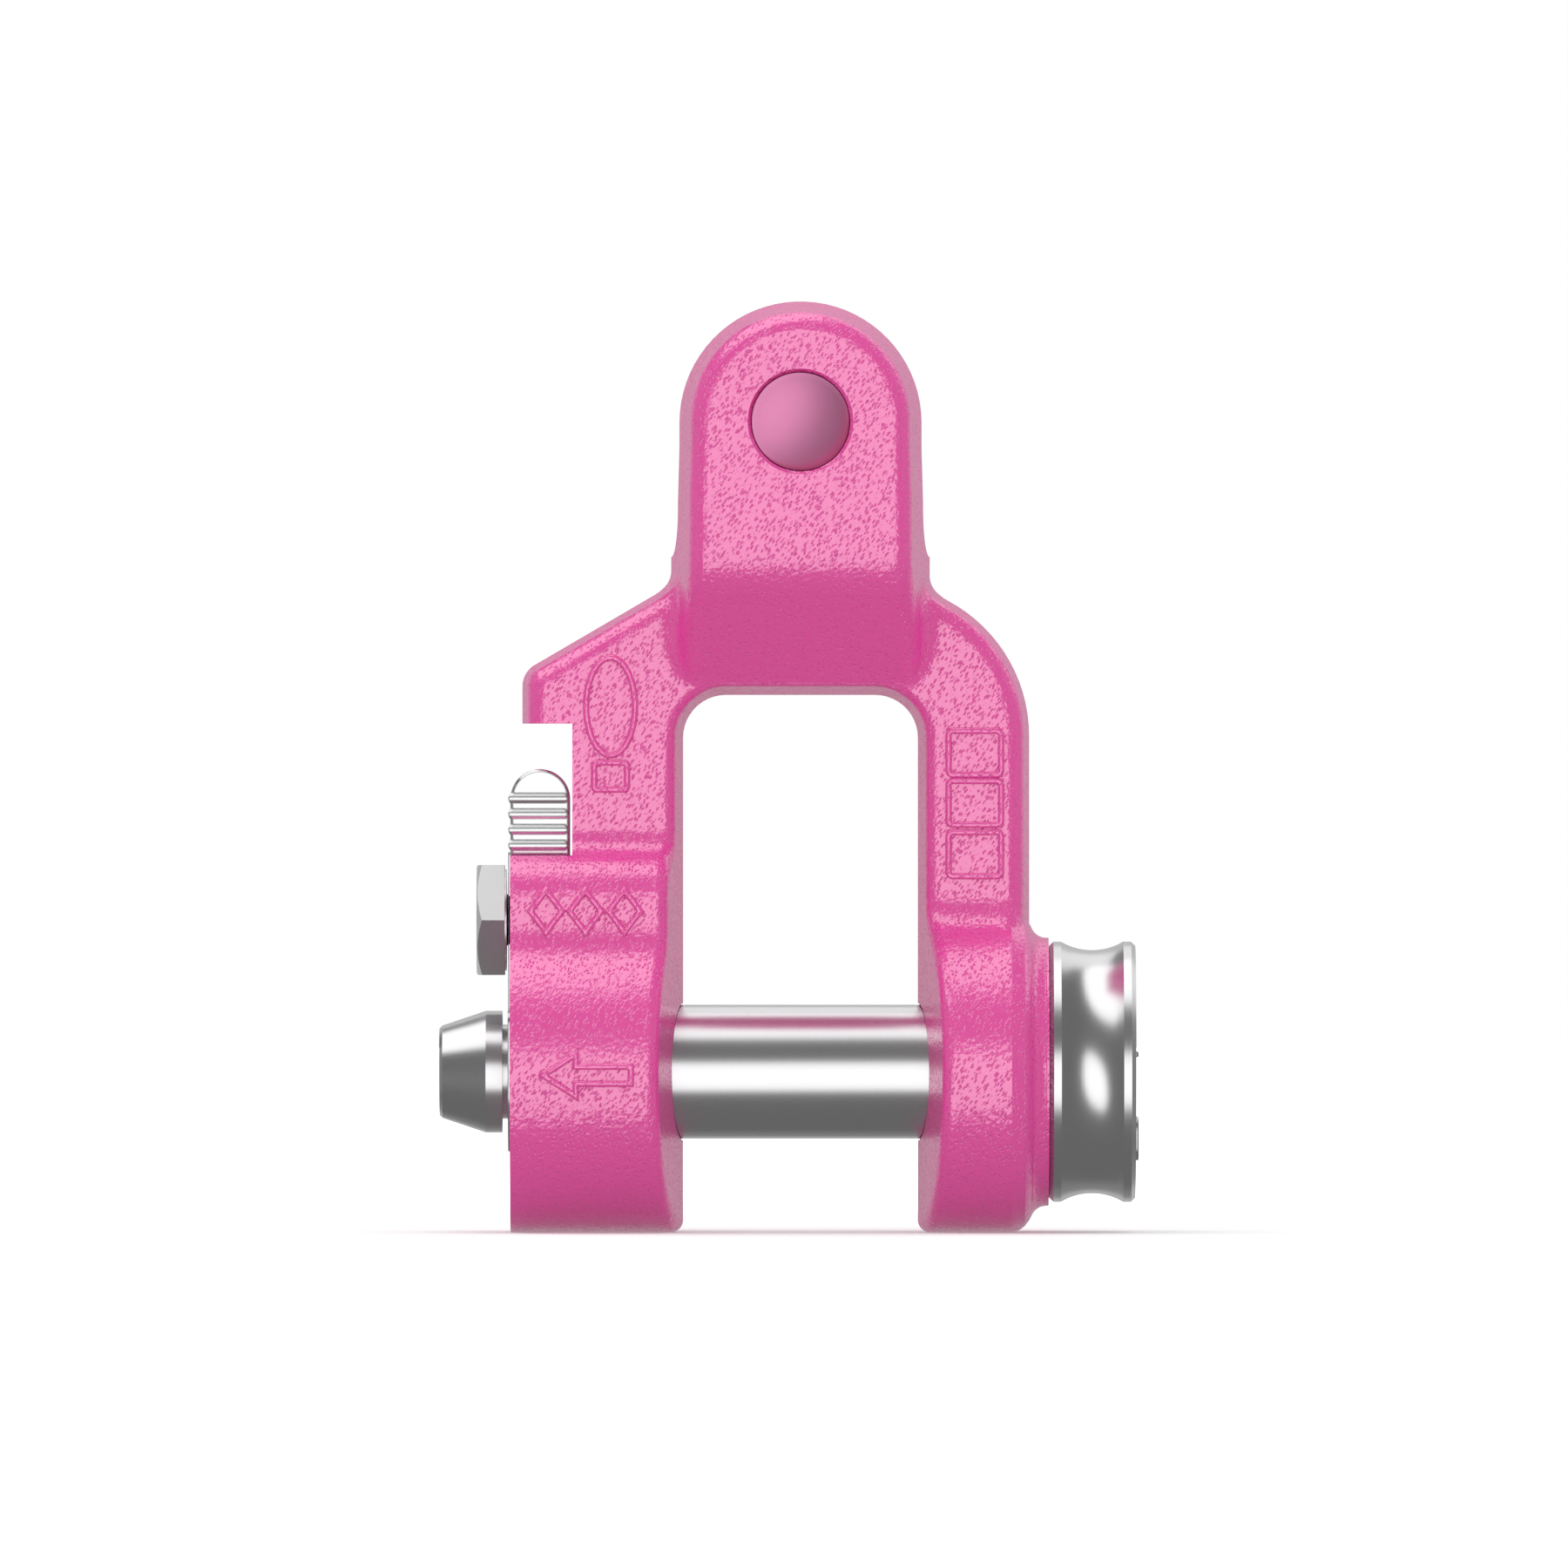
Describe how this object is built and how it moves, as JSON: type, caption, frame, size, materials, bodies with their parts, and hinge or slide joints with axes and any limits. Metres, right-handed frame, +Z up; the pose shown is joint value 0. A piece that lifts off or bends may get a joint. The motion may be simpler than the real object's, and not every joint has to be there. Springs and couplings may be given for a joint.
{
  "type": "clevis shackle",
  "caption": "Forged lifting shackle with a chain clevis at its head and a load bolt between its eyes that a spring-loaded thumb slide locks.",
  "frame": {"origin": "on the axis of the chain pin, midway between the two ears of the head", "axes": "+Z up from the load bolt to the head, +X toward the knob of the load bolt, +Y toward the rear ear along the chain pin"},
  "size_m": [0.1141, 0.0526, 0.1525],
  "materials": {
    "coated_forging": "glossy pink powder coat over forged steel",
    "pin_steel": "ground, with a thin satin coat tinted like the forging",
    "bolt_steel": "turned and bright plated",
    "slide_steel": "tumbled and zinc plated",
    "screw_steel": "zinc plated",
    "spring_steel": "bare",
    "black_plastic": "satin black"
  },
  "bodies": {
    "bow": {"bow": "coated_forging", "pin_sleeve": "spring_steel", "guide_bush": "black_plastic", "guide_screw": "screw_steel", "return_spring": "spring_steel"},
    "chain_pin": {"chain_pin": "pin_steel"},
    "shackle_bolt": {"shackle_bolt": "bolt_steel"},
    "lock_slide": {"lock_slide": "slide_steel"}
  },
  "joints": [
    {"name": "chain_pin_turn", "type": "hinge", "parent": "bow", "child": "chain_pin", "pos_m": [0, 0, 0], "axis": [0, 1, 0], "continuous": true},
    {"name": "bolt_turn", "type": "hinge", "parent": "bow", "child": "shackle_bolt", "pos_m": [0, 0, -0.1064], "axis": [1, 0, 0], "continuous": true},
    {"name": "slide_lift", "type": "slide", "parent": "bow", "child": "lock_slide", "axis": [0, 0, 1], "range_m": [0, 0.0073], "stiffness_N_per_m": 2900, "springref_m": -0.003, "deforming": ["return_spring"]}
  ]
}
